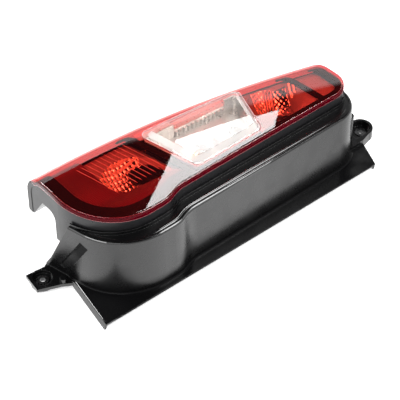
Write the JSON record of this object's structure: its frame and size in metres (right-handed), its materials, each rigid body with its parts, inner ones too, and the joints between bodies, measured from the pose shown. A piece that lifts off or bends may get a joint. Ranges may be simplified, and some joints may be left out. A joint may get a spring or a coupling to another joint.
{
  "type": "tail light cluster",
  "caption": "Van rear lamp: curved red lens with a raised clear window, reflectors and bulbs inside, black housing and a flanged side shroud with screw tabs at both ends.",
  "frame": {"origin": "midway between the two screw holes, on the plane where the screw tabs seat on the body", "axes": "+X along the lamp towards the end with the narrow tab, -Y towards the side shroud, +Z out of the body through the lens"},
  "size_m": [0.514, 0.1809, 0.1281],
  "materials": {
    "red_plastic": "polished transparent red acrylic",
    "clear_plastic": "polished clear acrylic",
    "housing_plastic": "moulded black",
    "shroud_plastic": "satin moulded black",
    "mask_plastic": "gloss black",
    "reflex_plastic": "prismatic red",
    "metallised_plastic": "vacuum metallised plastic, mirror bright",
    "bulb_glass": "clear",
    "amber_glass": "amber",
    "brass": "stamped",
    "carrier_plastic": "moulded pale grey",
    "foam_rubber": "closed-cell foam",
    "zinc_steel": "zinc plated",
    "dark_steel": "black phosphated",
    "peg_plastic": "moulded white"
  },
  "bodies": {
    "root": {"red_lens": "red_plastic", "clear_lens": "clear_plastic", "lamp_housing": "housing_plastic", "side_shroud": "shroud_plastic", "inner_bezel": "mask_plastic", "reflex_reflector": "reflex_plastic", "lower_reflector": "metallised_plastic", "upper_reflector": "metallised_plastic", "reverse_reflector": "metallised_plastic", "louvre_insert": "mask_plastic", "stop_bulb_glass": "bulb_glass", "turn_bulb_glass": "amber_glass", "reverse_bulb_glass": "bulb_glass", "tail_bulb_glass": "bulb_glass", "stop_bulb_cap": "brass", "turn_bulb_cap": "brass", "reverse_bulb_cap": "brass", "tail_bulb_cap": "brass", "bulb_carrier": "carrier_plastic", "carrier_seal": "foam_rubber", "contact_tracks": "brass", "connector_terminals": "brass", "carrier_screws": "zinc_steel", "shroud_screws": "zinc_steel", "locating_pegs": "peg_plastic", "breather_cap": "foam_rubber", "screw_sleeves": "dark_steel"}
  },
  "joints": []
}
